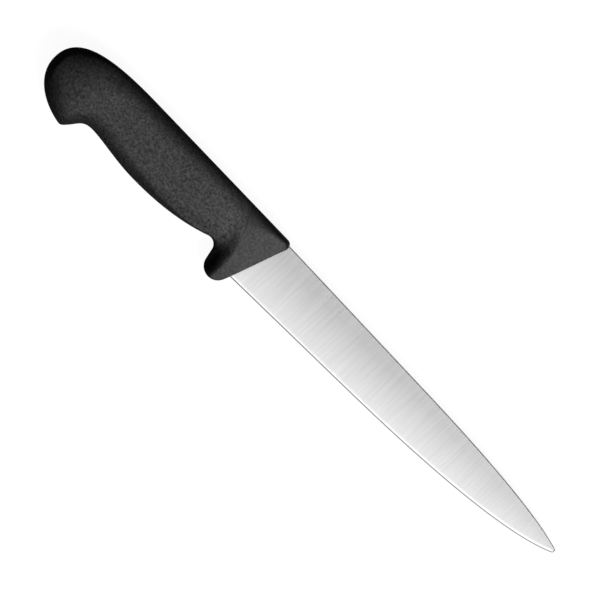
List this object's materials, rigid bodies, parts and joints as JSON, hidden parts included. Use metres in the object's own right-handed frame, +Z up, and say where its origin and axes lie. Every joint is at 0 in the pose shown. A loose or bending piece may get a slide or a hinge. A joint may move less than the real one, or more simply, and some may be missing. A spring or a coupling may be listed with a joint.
{
  "type": "fillet knife",
  "caption": "Fixed-blade fillet knife: slim tapering steel blade with a hidden tang, held in a two-shot moulded handle with a finger guard and a hooked butt.",
  "frame": {"origin": "under the middle of the knife's bounding box, on the surface that it lies on", "axes": "knife lying on its side: +X from the butt to the tip, +Y from the cutting edge to the spine, +Z up through its thickness"},
  "size_m": [0.315, 0.038, 0.0192],
  "materials": {
    "blade_steel": "satin, ground across the blade, with a bright sharpened bevel",
    "core_plastic": "black hard plastic with a fine matt mould texture",
    "grip_plastic": "black grippy plastic with a coarse grained mould texture"
  },
  "bodies": {
    "root": {"blade": "blade_steel", "handle_core": "core_plastic", "grip": "grip_plastic"}
  },
  "joints": []
}
